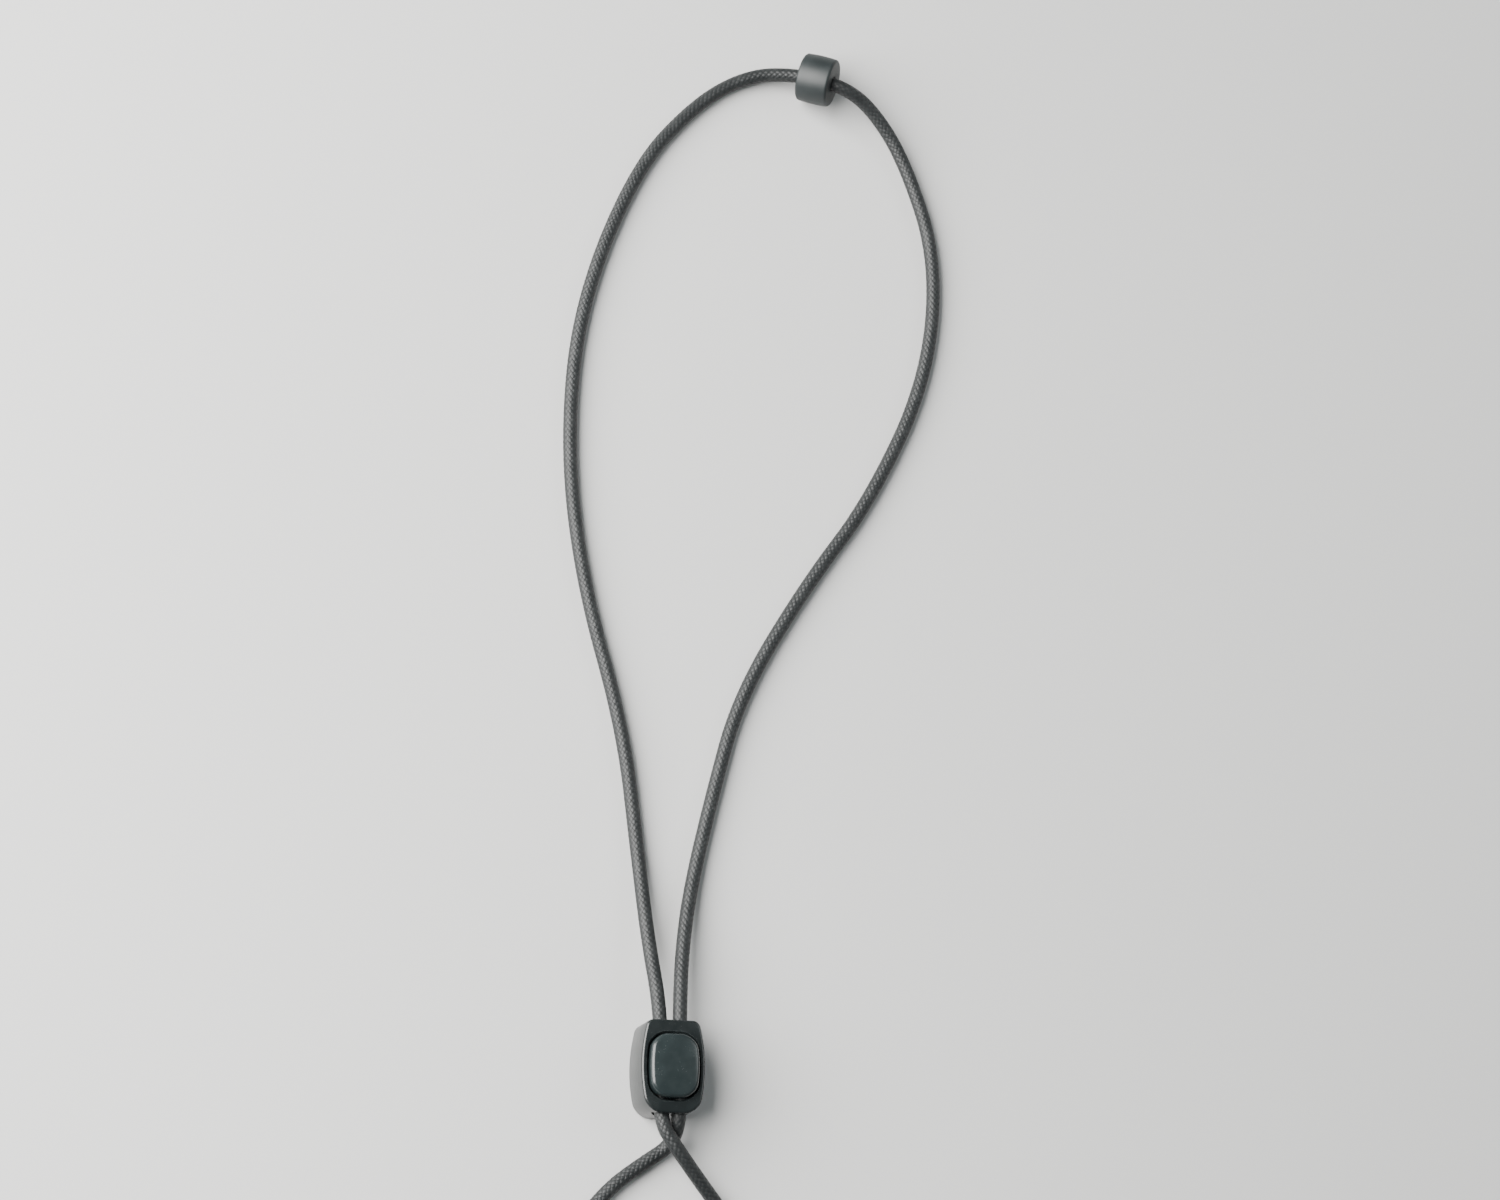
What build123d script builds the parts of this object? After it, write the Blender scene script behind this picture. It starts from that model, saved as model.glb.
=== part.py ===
from build123d import *
import math
import os

# A front-button cord lock on its elastic drawcord. Millimetres, +Z out of the button.
# The lock lies on its back: the origin is the centre of its flat back, +Y runs along the two cord
# strands towards the loop, and the floor is z = 0.

# ---- cord -------------------------------------------------------------------------------------
cord_d = 3.0

# ---- lock body --------------------------------------------------------------------------------
body_length = 19.2
body_side_wall = 1.3          # beside the opening, at mid-length
body_corner_r = 1.2           # at the loop end
body_low_corner_r = 3.0       # at the other end
back_edge_r = 2.2
front_edge_r = 0.8
back_wall = 1.2
cord_hole_gap = 0.2           # around a strand in its hole
cord_hole_flare = 0.3         # how much wider a hole is at its mouth
cord_hole_flare_depth = 0.6
hole_web = 0.8                # between the two strands' holes
hole_side_wall = 1.6          # beside the holes, at the flat ends
hole_front_wall = 1.25        # over the holes, to the body's front
opening_chamfer = 0.35

# ---- button -----------------------------------------------------------------------------------
button_length = 13.2
button_side_wall = 1.45       # beside the slots, at mid-length
button_side_bow = 0.8         # how far each side bows out
button_corner_r = 3.0
button_proud = 2.0            # how far its crown stands out of the body's front
crown_r = 45.0
button_edge_r = 0.8
press_travel = 1.8
nip_bar = 1.2                 # thickness of the bar under the cords
skirt_wall_side = 1.3
skirt_wall_end = 1.2

# ---- fits -------------------------------------------------------------------------------------
button_gap = 0.3              # between the button and its opening, all round
nip_gap = 0.1                 # between the strands and the bar with the button out
slot_side_gap = 0.15          # beside a strand in its slot
slot_top_gap = 0.2            # over a strand with the button pressed fully in
floor_gap = 0.2               # under the skirts with the button pressed fully in
lug_gap = 0.1                 # over the snap lugs with the button out
groove_side_gap = 0.2

# ---- snap lugs and grooves --------------------------------------------------------------------
lug_length = 3.6
lug_height = 1.0
lug_bite = 0.45               # how far a lug reaches behind the edge of the opening
lug_lead_in = 0.35

# ---- spring -----------------------------------------------------------------------------------
spring_od = 4.6
spring_wire_d = 0.35
spring_turns = 3.5
spring_pressed_length = 1.65  # its space with the button pressed fully in
spring_end_gap = 0.02
boss_gap = 0.15               # between the spring's inside and the bosses that hold it
seat_boss_height = 0.5
bar_boss_height = 0.7

# ---- loop bead --------------------------------------------------------------------------------
bead_length = 7.2
bead_d_mid = 10.8
bead_d_end = 10.4
bead_edge_r = 0.5
bead_web = 0.8                # between the two blind sockets
bead_x = 32.9
bead_y = 219.9
bead_turn_deg = -19.5         # of its axis from +X
bead_tilt_deg = 24.5          # of its axis up from the floor
bead_straight = 5.5           # the cord is straight this far from the bead's centre

# ---- coil of the hem run ----------------------------------------------------------------------
coil_x = 0.0
coil_y = -55.0
coil_turns_across = 5
coil_layers = 2
coil_mean_r = 16.5
coil_turn_gap = 0.05

# ---- worked out from the sizes above ----------------------------------------------------------
cord_r = cord_d / 2
cord_hole_d = cord_d + 2 * cord_hole_gap
strand_spacing = cord_hole_d + hole_web
strand_x = strand_spacing / 2
bar_bottom = back_wall + spring_pressed_length + press_travel
bar_top = bar_bottom + nip_bar
cord_z = bar_top + nip_gap + cord_r                # height of both strands inside the lock
slot_top = cord_z + cord_r + press_travel + slot_top_gap
slot_width = cord_d + 2 * slot_side_gap
button_width_mid = strand_spacing + slot_width + 2 * button_side_wall
button_width_end = button_width_mid - 2 * button_side_bow
body_width_mid = button_width_mid + 2 * (button_gap + body_side_wall)
body_width_end = strand_spacing + cord_hole_d + 2 * hole_side_wall
body_depth = cord_z + cord_hole_d / 2 + hole_front_wall
button_top = body_depth + button_proud
skirt_bottom = back_wall + press_travel + floor_gap
spring_r = (spring_od - spring_wire_d) / 2
boss_r = spring_od / 2 - spring_wire_d - boss_gap
bead_tilt = math.radians(bead_tilt_deg)
bead_z = (bead_d_end * math.cos(bead_tilt) + bead_length * math.sin(bead_tilt)) / 2
coil_pitch = cord_d + coil_turn_gap
coil_outer_turn_r = coil_mean_r + coil_pitch * (coil_turns_across - 1) / 2
coil_inner_turn_r = coil_mean_r - coil_pitch * (coil_turns_across - 1) / 2
coil_top_z = cord_r + cord_d * (coil_layers - 1)


def bead_point(distance):
    """A point on the bead's axis, at this distance from its centre."""
    turn = math.radians(bead_turn_deg)
    level = distance * math.cos(bead_tilt)
    rise = distance * math.sin(bead_tilt)
    return (bead_x + level * math.cos(turn), bead_y + level * math.sin(turn), bead_z + rise)


# The two uncoiled stretches, from the bead round their side of the loop, through the lock and on to the
# coil. The left strand leaves the lock over the right one.
left_route = [
    bead_point(-bead_web / 2),
    bead_point(-bead_straight),
    (18.2, 220.9, 1.8),
    (6.5, 213.2, cord_r),
    (-7.1, 196.7, cord_r),
    (-19.3, 164.3, cord_r),
    (-21.8, 132.7, cord_r),
    (-18.0, 102.9, cord_r),
    (-8.9, 72.0, cord_r),
    (-5.6, 45.5, cord_r),
    (-4.0, 27.5, 4.0),
    (-strand_x - 0.1, 12.5, cord_z),
    (-strand_x + 0.05, 1.5, cord_z),
    (-strand_x, -body_length / 2 - 1.3, cord_z),
    (1.2, -15.9, 7.4),
    (6.5, -21.6, 4.6),
    (12.5, -28.0, 1.8),
    (18.5, -36.5, 2.0),
    (coil_x + coil_outer_turn_r, coil_y + 8.0, coil_top_z),
    (coil_x + coil_outer_turn_r, coil_y, coil_top_z),
]
right_route = [
    bead_point(bead_web / 2),
    bead_point(bead_straight),
    (45.5, 215.2, 5.2),
    (54.1, 205.2, 2.0),
    (61.8, 182.5, cord_r),
    (59.0, 154.2, cord_r),
    (45.5, 125.5, cord_r),
    (31.8, 106.8, cord_r),
    (16.4, 80.8, cord_r),
    (10.3, 57.9, cord_r),
    (5.9, 39.5, 1.8),
    (3.4, 26.0, 4.2),
    (strand_x - 0.1, 12.5, cord_z),
    (strand_x + 0.05, 1.5, cord_z),
    (strand_x, -body_length / 2 - 1.6, cord_z),
    (1.6, -15.2, 1.9),
    (-3.4, -18.5, cord_r),
    (-11.0, -24.0, cord_r),
    (-18.0, -32.5, cord_r),
    (coil_x - coil_outer_turn_r, coil_y + 11.0, cord_r),
    (coil_x - coil_outer_turn_r, coil_y, cord_r),
]


def barrel_outline(length, width_mid, width_end, corner_r, low_corner_r):
    """Face with flat ends and bowed sides, as seen from the front."""
    end_y = length / 2
    end_x = width_end / 2
    outline = [
        Line((-end_x, end_y), (end_x, end_y)),
        ThreePointArc((end_x, end_y), (width_mid / 2, 0), (end_x, -end_y)),
        Line((end_x, -end_y), (-end_x, -end_y)),
        ThreePointArc((-end_x, -end_y), (-width_mid / 2, 0), (-end_x, end_y)),
    ]
    face = make_face(Wire(outline))
    corners = face.vertices().sort_by(Axis.Y)
    face = fillet(corners[2:], corner_r)
    corners = face.vertices().sort_by(Axis.Y)
    return fillet(corners[:2], low_corner_r)


def button_outline(grow=0.0):
    """The button's outline, or its opening's with grow as the gap all round."""
    return barrel_outline(
        button_length + 2 * grow,
        button_width_mid + 2 * grow,
        button_width_end + 2 * grow,
        button_corner_r + grow,
        button_corner_r + grow,
    )


def block(outline, z_low, z_high):
    """The outline raised from z_low to z_high."""
    return extrude(Pos(0, 0, z_low) * outline, z_high - z_low)


def edges_at(solid, z):
    """The edges that lie flat at height z."""
    return solid.edges().filter_by_position(Axis.Z, z, z)


def inner_edges(face):
    """The edges of every hole in a face."""
    return [edge for wire in face.inner_wires() for edge in wire.edges()]


def strand_bar(x, diameter, y_low, y_high):
    """A round bar along a strand's line through the lock."""
    bar = Cylinder(diameter / 2, y_high - y_low, rotation=(90, 0, 0))
    return Pos(x, (y_low + y_high) / 2, cord_z) * bar


def hole_mouth(x, end):
    """The flare of a cord hole at the loop end (1) or the other end (-1)."""
    wide = cord_hole_d / 2 + cord_hole_flare
    flare = Cone(wide, cord_hole_d / 2, cord_hole_flare_depth, rotation=(end * 90, 0, 0))
    return Pos(x, end * (body_length - cord_hole_flare_depth) / 2, cord_z) * flare


def make_lock_body():
    """Hollow barrel with the button opening, the cord holes, the spring seat and the snap grooves."""
    outline = barrel_outline(body_length, body_width_mid, body_width_end, body_corner_r, body_low_corner_r)
    shell = block(outline, 0, body_depth)
    shell = fillet(edges_at(shell, 0), back_edge_r)
    shell = fillet(edges_at(shell, body_depth), front_edge_r)
    shell -= block(button_outline(button_gap), back_wall, body_depth + 1)
    front = shell.faces().sort_by(Axis.Z)[-1]
    shell = chamfer(inner_edges(front), opening_chamfer)
    for side in (-1, 1):
        for end in (-1, 1):
            near = end * button_length / 2
            far = end * (body_length / 2 + 1)
            shell -= strand_bar(side * strand_x, cord_hole_d, min(near, far), max(near, far))
            shell -= hole_mouth(side * strand_x, end)
    groove_x = button_width_mid / 2 + button_gap + lug_bite + groove_side_gap
    groove_low = skirt_bottom - press_travel - lug_gap
    groove_high = skirt_bottom + lug_height + lug_gap
    groove = Box(2 * groove_x, lug_length + 2 * groove_side_gap, groove_high - groove_low)
    shell -= Pos(0, 0, (groove_low + groove_high) / 2) * groove
    seat = Pos(0, 0, back_wall + seat_boss_height / 2) * Cylinder(boss_r, seat_boss_height)
    return shell + seat


def make_button():
    """Crowned cap with two cord slots, the nip bar, skirts with snap lugs, and the spring boss."""
    cap = block(button_outline(), skirt_bottom, button_top + 1)
    cap &= Pos(0, 0, button_top - crown_r) * Sphere(crown_r)
    top_edges = cap.edges().filter_by(lambda edge: edge.bounding_box().min.Z > body_depth)
    cap = fillet(top_edges, button_edge_r)
    slot_height = slot_top - bar_top
    slot = SlotOverall(slot_height, slot_width, rotation=90)
    for side in (-1, 1):
        face = Plane.XZ.offset(-button_length) * Pos(side * strand_x, (slot_top + bar_top) / 2) * slot
        cap -= extrude(face, 2 * button_length)
    hollow_x = button_width_mid - 2 * skirt_wall_side
    hollow_y = button_length - 2 * skirt_wall_end
    on_its_base = (Align.CENTER, Align.CENTER, Align.MIN)
    hollow = Box(hollow_x, hollow_y, bar_bottom - skirt_bottom, align=on_its_base)
    hollow = fillet(hollow.edges().filter_by(Axis.Z), button_corner_r - skirt_wall_side)
    cap -= Pos(0, 0, skirt_bottom) * hollow
    boss = Cylinder(boss_r, bar_boss_height, align=(Align.CENTER, Align.CENTER, Align.MAX))
    cap += Pos(0, 0, bar_bottom) * boss
    lug_x = button_width_mid / 2 + button_gap + lug_bite
    for side in (-1, 1):
        lug_box = Box(skirt_wall_side / 2 + button_gap + lug_bite, lug_length, lug_height)
        centre_x = side * (lug_x - (skirt_wall_side / 2 + button_gap + lug_bite) / 2)
        lug = Pos(centre_x, 0, skirt_bottom + lug_height / 2) * lug_box
        long_edges = lug.edges().filter_by(Axis.Y)
        outer_low = long_edges.sort_by(lambda edge: side * edge.center().X - edge.center().Z)[-1]
        cap += chamfer(outer_low, lug_lead_in)
    return cap


def make_spring():
    """Compression coil between the back wall and the nip bar."""
    z_low = back_wall + spring_end_gap + spring_wire_d / 2
    z_high = bar_bottom - spring_end_gap - spring_wire_d / 2
    height = z_high - z_low
    path = Pos(0, 0, z_low) * Helix(height / spring_turns, height, spring_r)
    wire_end = Plane(origin=path @ 0, z_dir=path % 0)
    return sweep(wire_end * Circle(spring_wire_d / 2), path=path)


def make_loop_bead():
    """Barrel sleeve with a blind socket in each end for the cord's two ends."""
    half = bead_length / 2
    profile = make_face(
        Wire(
            [
                Line((-half, 0), (-half, bead_d_end / 2)),
                ThreePointArc((-half, bead_d_end / 2), (0, bead_d_mid / 2), (half, bead_d_end / 2)),
                Line((half, bead_d_end / 2), (half, 0)),
                Line((half, 0), (-half, 0)),
            ]
        )
    )
    bead = revolve(profile, Axis.X)
    ends = bead.edges().filter_by(GeomType.CIRCLE).filter_by(lambda edge: abs(edge.center().X) > half - 0.1)
    bead = fillet(ends, bead_edge_r)
    for side in (-1, 1):
        depth = half - bead_web / 2
        socket = Cylinder(cord_r, depth, rotation=(0, 90, 0))
        bead -= Pos(side * (bead_web / 2 + depth / 2), 0, 0) * socket
    return Pos(bead_x, bead_y, bead_z) * Rot(0, 0, bead_turn_deg) * Rot(0, -bead_tilt_deg, 0) * bead


def make_cord_coil():
    """The closed outer shape of the coiled hem run."""
    inner = coil_inner_turn_r - cord_r
    outer = coil_outer_turn_r + cord_r
    height = coil_top_z + cord_r
    ring = Cylinder(outer, height) - Cylinder(inner, height)
    ring = fillet(ring.edges().filter_by(GeomType.CIRCLE), cord_r * 0.9)
    return Pos(coil_x, coil_y, height / 2) * ring


def bend_radii(route):
    """Radius at each corner: 0.45 of the shorter run over the tangent of half the turn."""
    radii = []
    for before, here, after in zip(route, route[1:], route[2:]):
        run_in = Vector(here) - Vector(before)
        run_out = Vector(after) - Vector(here)
        half_turn = math.radians(run_in.get_angle(run_out)) / 2
        radii.append(0.45 * min(run_in.length, run_out.length) / math.tan(half_turn))
    return radii


def make_cord_tube(name, route, coil):
    """Round cord along straight runs and tangent arcs, ending on the coil."""
    radii = bend_radii(route)
    path = FilletPolyline(*route, radius=radii)
    section = Plane(origin=path @ 0, z_dir=path % 0) * Circle(cord_r)
    tube = sweep(section, path=path)
    expected = math.pi * cord_r**2 * path.length
    print(name, "radii", [round(radius, 1) for radius in radii])
    print(name, "length", round(path.length, 1))
    print(name, "volume", round(tube.volume, 1), "expected", round(expected, 1))
    return (tube - coil).solids().sort_by(SortBy.VOLUME)[-1]


def make_parts():
    """Every node by name."""
    coil = make_cord_coil()
    return {
        "lock_body": make_lock_body(),
        "button": make_button(),
        "spring": make_spring(),
        "cord_left": make_cord_tube("cord_left", left_route, coil),
        "cord_coil": coil,
        "cord_right": make_cord_tube("cord_right", right_route, coil),
        "loop_bead": make_loop_bead(),
    }


os.makedirs("parts", exist_ok=True)
for node, solid in make_parts().items():
    solid.label = node
    export_step(solid, f"parts/{node}.step")
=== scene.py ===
import logging
import math
from dataclasses import dataclass, replace
from enum import Enum
from typing import Callable, Optional, Sequence, Union

import bmesh
import bpy
from bmesh.types import BMEdge, BMesh
from mathutils import Matrix, Vector


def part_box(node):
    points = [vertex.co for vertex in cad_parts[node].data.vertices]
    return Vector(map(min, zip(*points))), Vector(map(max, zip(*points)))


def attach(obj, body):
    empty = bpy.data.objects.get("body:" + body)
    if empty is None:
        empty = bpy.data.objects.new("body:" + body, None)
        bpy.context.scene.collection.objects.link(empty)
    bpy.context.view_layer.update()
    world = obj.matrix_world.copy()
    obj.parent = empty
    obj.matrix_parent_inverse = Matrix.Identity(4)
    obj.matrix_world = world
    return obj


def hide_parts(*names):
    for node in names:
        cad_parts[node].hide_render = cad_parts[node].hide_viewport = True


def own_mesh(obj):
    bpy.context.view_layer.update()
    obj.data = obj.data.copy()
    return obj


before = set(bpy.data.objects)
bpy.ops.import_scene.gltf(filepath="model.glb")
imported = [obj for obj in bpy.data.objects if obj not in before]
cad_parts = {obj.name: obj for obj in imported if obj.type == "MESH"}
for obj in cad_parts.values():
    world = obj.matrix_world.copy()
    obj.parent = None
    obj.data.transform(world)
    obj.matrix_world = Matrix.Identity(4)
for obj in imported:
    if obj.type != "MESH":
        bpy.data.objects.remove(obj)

log = logging.getLogger("cord_lock")

MM = 0.001
Colour = tuple[float, float, float]
Point = tuple[float, float, float]
Value = Union[bpy.types.NodeSocket, float]


class Body(Enum):
    """The CAD bodies that pieces ride on."""

    ROOT = "root"
    BUTTON = "button"


class Slot(Enum):
    """The record's material slots."""

    LOCK = "lock_acetal"
    BUTTON = "button_acetal"
    SPRING = "spring_steel"
    CORD = "elastic_cord"
    BEAD = "bead_plastic"


# ---- node graphs --------------------------------------------------------------------------------


class Graph:
    """A material's or a group's node tree, with short calls that add and join its nodes."""

    def __init__(self, tree: bpy.types.NodeTree) -> None:
        """Takes the tree to work on.

        Args:
            tree: An empty node tree.
        """
        self.tree = tree

    def add(self, kind: str, **settings: object) -> bpy.types.Node:
        """Adds one node.

        Args:
            kind: The node's type name without its ShaderNode start.
            **settings: Properties to set on it.

        Returns:
            The new node.
        """
        node = self.tree.nodes.new(f"ShaderNode{kind}")
        for name, value in settings.items():
            setattr(node, name, value)
        return node

    def feed(self, socket: bpy.types.NodeSocket, value: Value) -> None:
        """Links a socket into another, or sets its plain value.

        Args:
            socket: The input to feed.
            value: A socket, a number or a vector.
        """
        if isinstance(value, bpy.types.NodeSocket):
            self.tree.links.new(value, socket)
        else:
            socket.default_value = value

    def math(self, operation: str, *values: Value, clamp: bool = False) -> bpy.types.NodeSocket:
        """Adds a Math node.

        Args:
            operation: The node's operation.
            *values: Its inputs, in order.
            clamp: Whether the result is kept from 0 to 1.

        Returns:
            The node's output.
        """
        node = self.add("Math", operation=operation, use_clamp=clamp)
        for socket, value in zip(node.inputs, values):
            self.feed(socket, value)
        return node.outputs[0]

    def spread(
        self, value: Value, low: float, high: float, to_low: float = 0.0, to_high: float = 1.0
    ) -> bpy.types.NodeSocket:
        """Maps a range smoothly onto another, clamped.

        Args:
            value: The value to map.
            low: Where the old range starts.
            high: Where it ends.
            to_low: Where the new range starts.
            to_high: Where it ends.

        Returns:
            The mapped value.
        """
        node = self.add("MapRange", interpolation_type="SMOOTHSTEP")
        for socket, number in zip(node.inputs, (value, low, high, to_low, to_high)):
            self.feed(socket, number)
        return node.outputs[0]

    def noise(
        self, vector: Value, scale: Value, detail: float = 3.0, roughness: float = 0.5
    ) -> bpy.types.NodeSocket:
        """Adds a noise texture.

        Args:
            vector: Where it is read.
            scale: Its scale, per metre.
            detail: Its detail.
            roughness: Its roughness.

        Returns:
            Its value.
        """
        node = self.add("TexNoise")
        self.feed(node.inputs["Vector"], vector)
        self.feed(node.inputs["Scale"], scale)
        node.inputs["Detail"].default_value = detail
        node.inputs["Roughness"].default_value = roughness
        return node.outputs["Fac"]

    def mix(
        self, factor: Value, first: Union[Value, Colour], second: Union[Value, Colour], blend: str = "MIX"
    ) -> bpy.types.NodeSocket:
        """Mixes two colours.

        Args:
            factor: How much of the second shows.
            first: A colour or a socket.
            second: A colour or a socket.
            blend: The blend type.

        Returns:
            The mixed colour.
        """
        node = self.add("Mix", data_type="RGBA", blend_type=blend, clamp_factor=True)
        self.feed(node.inputs[0], factor)
        for socket, value in ((node.inputs[6], first), (node.inputs[7], second)):
            self.feed(socket, value if isinstance(value, bpy.types.NodeSocket) else (*value, 1.0))
        return node.outputs[2]

    def place(self, group: bpy.types.NodeTree, **inputs: Value) -> bpy.types.Node:
        """Places a node group.

        Args:
            group: The group.
            **inputs: Its inputs by name, with underscores for spaces.

        Returns:
            The group's node.
        """
        node = self.add("Group", node_tree=group)
        for name, value in inputs.items():
            self.feed(node.inputs[name.replace("_", " ")], value)
        return node

    def finish_shader(self, colour: Value, roughness: Value, normal: Value, **constants: float) -> None:
        """Adds the Principled shader and the material's output.

        Args:
            colour: The base colour.
            roughness: The roughness.
            normal: The normal.
            **constants: Plain numbers for other sockets, with underscores for spaces.
        """
        shader = self.add("BsdfPrincipled")
        self.feed(shader.inputs["Base Color"], colour)
        self.feed(shader.inputs["Roughness"], roughness)
        self.feed(shader.inputs["Normal"], normal)
        for name, number in constants.items():
            shader.inputs[name.replace("_", " ")].default_value = number
        self.feed(self.add("OutputMaterial").inputs["Surface"], shader.outputs[0])

    def bump(self, height: Value, distance: float, strength: float = 1.0) -> bpy.types.NodeSocket:
        """Turns a height into a normal.

        Args:
            height: The height, from 0 to 1.
            distance: How deep it is, in metres.
            strength: The bump's strength.

        Returns:
            The normal.
        """
        node = self.add("Bump")
        node.inputs["Strength"].default_value = strength
        node.inputs["Distance"].default_value = distance
        self.feed(node.inputs["Height"], height)
        return node.outputs[0]


def new_group(
    name: str, inputs: dict[str, float], outputs: Sequence[str], vector: bool = True
) -> tuple[bpy.types.NodeTree, Graph, dict[str, bpy.types.NodeSocket], bpy.types.Node]:
    """Starts a shader group with named sockets.

    Args:
        name: The group's name.
        inputs: Its number inputs and their defaults.
        outputs: Its number outputs.
        vector: Whether it also takes a Position.

    Returns:
        The group, its graph, its input sockets by name and its output node.
    """
    group = bpy.data.node_groups.new(name, "ShaderNodeTree")
    if vector:
        group.interface.new_socket("Position", in_out="INPUT", socket_type="NodeSocketVector")
    for socket, default in inputs.items():
        made = group.interface.new_socket(socket, in_out="INPUT", socket_type="NodeSocketFloat")
        made.default_value = default
    for socket in outputs:
        group.interface.new_socket(socket, in_out="OUTPUT", socket_type="NodeSocketFloat")
    start = group.nodes.new("NodeGroupInput")
    end = group.nodes.new("NodeGroupOutput")
    return group, Graph(group), {socket.name: socket for socket in start.outputs}, end


def moulded_grain_group() -> bpy.types.NodeTree:
    """Fine spark-eroded grain of a moulding, with the faint flow of the plastic under it.

    Returns:
        The group, with a Height and a Mottle output.
    """
    sizes = {"Grain Size": 0.00012, "Flow Size": 0.004}
    group, graph, given, end = new_group("Moulded grain", sizes, ("Height", "Mottle"))
    per_metre = graph.math("DIVIDE", 1.0, given["Grain Size"])
    fine = graph.noise(given["Position"], per_metre, 4.0, 0.6)
    pits = graph.add("TexVoronoi", feature="SMOOTH_F1")
    graph.feed(pits.inputs["Vector"], given["Position"])
    graph.feed(pits.inputs["Scale"], graph.math("MULTIPLY", per_metre, 0.6))
    flow = graph.noise(given["Position"], graph.math("DIVIDE", 1.0, given["Flow Size"]), 2.0, 0.5)
    height = graph.math("MULTIPLY_ADD", fine, 0.6, graph.math("MULTIPLY", pits.outputs["Distance"], 0.4))
    graph.feed(end.inputs["Height"], graph.math("MULTIPLY_ADD", flow, 0.25, height))
    graph.feed(end.inputs["Mottle"], graph.spread(flow, 0.35, 0.65))
    return group


def edge_wear_group() -> bpy.types.NodeTree:
    """Mask of the edges that hands and cloth have rubbed.

    Returns:
        The group, with a Mask output.
    """
    group, graph, given, end = new_group("Edge wear", {"Edge Width": 0.0003, "Break Up": 0.0015}, ("Mask",))
    rounded = graph.add("Bevel", samples=4)
    graph.feed(rounded.inputs["Radius"], given["Edge Width"])
    true_normal = graph.add("NewGeometry")
    dot = graph.add("VectorMath", operation="DOT_PRODUCT")
    graph.feed(dot.inputs[0], rounded.outputs[0])
    graph.feed(dot.inputs[1], true_normal.outputs["Normal"])
    turned = graph.math("SUBTRACT", 1.0, dot.outputs["Value"])
    patches = graph.noise(given["Position"], graph.math("DIVIDE", 1.0, given["Break Up"]), 4.0, 0.65)
    edge = graph.spread(turned, 0.01, 0.12)
    broken = graph.spread(patches, 0.35, 0.62)
    graph.feed(end.inputs["Mask"], graph.math("MULTIPLY", edge, broken, clamp=True))
    return group


def dust_group() -> bpy.types.NodeTree:
    """Mask of fine lint and dust that settles on faces turned upwards.

    Returns:
        The group, with a Mask output.
    """
    group, graph, given, end = new_group("Settled dust", {"Speck Size": 0.0005, "Amount": 0.5}, ("Mask",))
    normal = graph.add("NewGeometry")
    parts = graph.add("SeparateXYZ")
    graph.feed(parts.inputs[0], normal.outputs["Normal"])
    upward = graph.spread(parts.outputs["Z"], 0.2, 0.9)
    film = graph.noise(given["Position"], graph.math("DIVIDE", 0.12, given["Speck Size"]), 3.0, 0.6)
    specks = graph.noise(given["Position"], graph.math("DIVIDE", 1.0, given["Speck Size"]), 1.0, 0.4)
    both = graph.math("ADD", graph.spread(film, 0.4, 0.8, 0.0, 0.5), graph.spread(specks, 0.68, 0.78))
    settled = graph.math("MULTIPLY", both, upward)
    graph.feed(end.inputs["Mask"], graph.math("MULTIPLY", settled, given["Amount"], clamp=True))
    return group


def parting_line_group() -> bpy.types.NodeTree:
    """Witness line where a mould's halves met, on a plane given by its normal and its distance.

    Returns:
        The group, with a Line output.
    """
    plane = {"Normal X": 0.0, "Normal Y": 0.0, "Normal Z": 1.0, "Offset": 0.005, "Width": 0.00008}
    group, graph, given, end = new_group("Parting line", plane, ("Line",))
    normal = graph.add("CombineXYZ")
    for socket, axis in zip(normal.inputs, "XYZ"):
        graph.feed(socket, given[f"Normal {axis}"])
    dot = graph.add("VectorMath", operation="DOT_PRODUCT")
    graph.feed(dot.inputs[0], given["Position"])
    graph.feed(dot.inputs[1], normal.outputs[0])
    drift = graph.math("SUBTRACT", graph.noise(given["Position"], 350.0, 2.0), 0.5)
    wander = graph.math("MULTIPLY", drift, 0.00004)
    straight = graph.math("SUBTRACT", dot.outputs["Value"], given["Offset"])
    away = graph.math("ABSOLUTE", graph.math("ADD", straight, wander))
    share = graph.math("DIVIDE", away, given["Width"])
    graph.feed(end.inputs["Line"], graph.math("SUBTRACT", 1.0, share, clamp=True))
    return group


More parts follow.
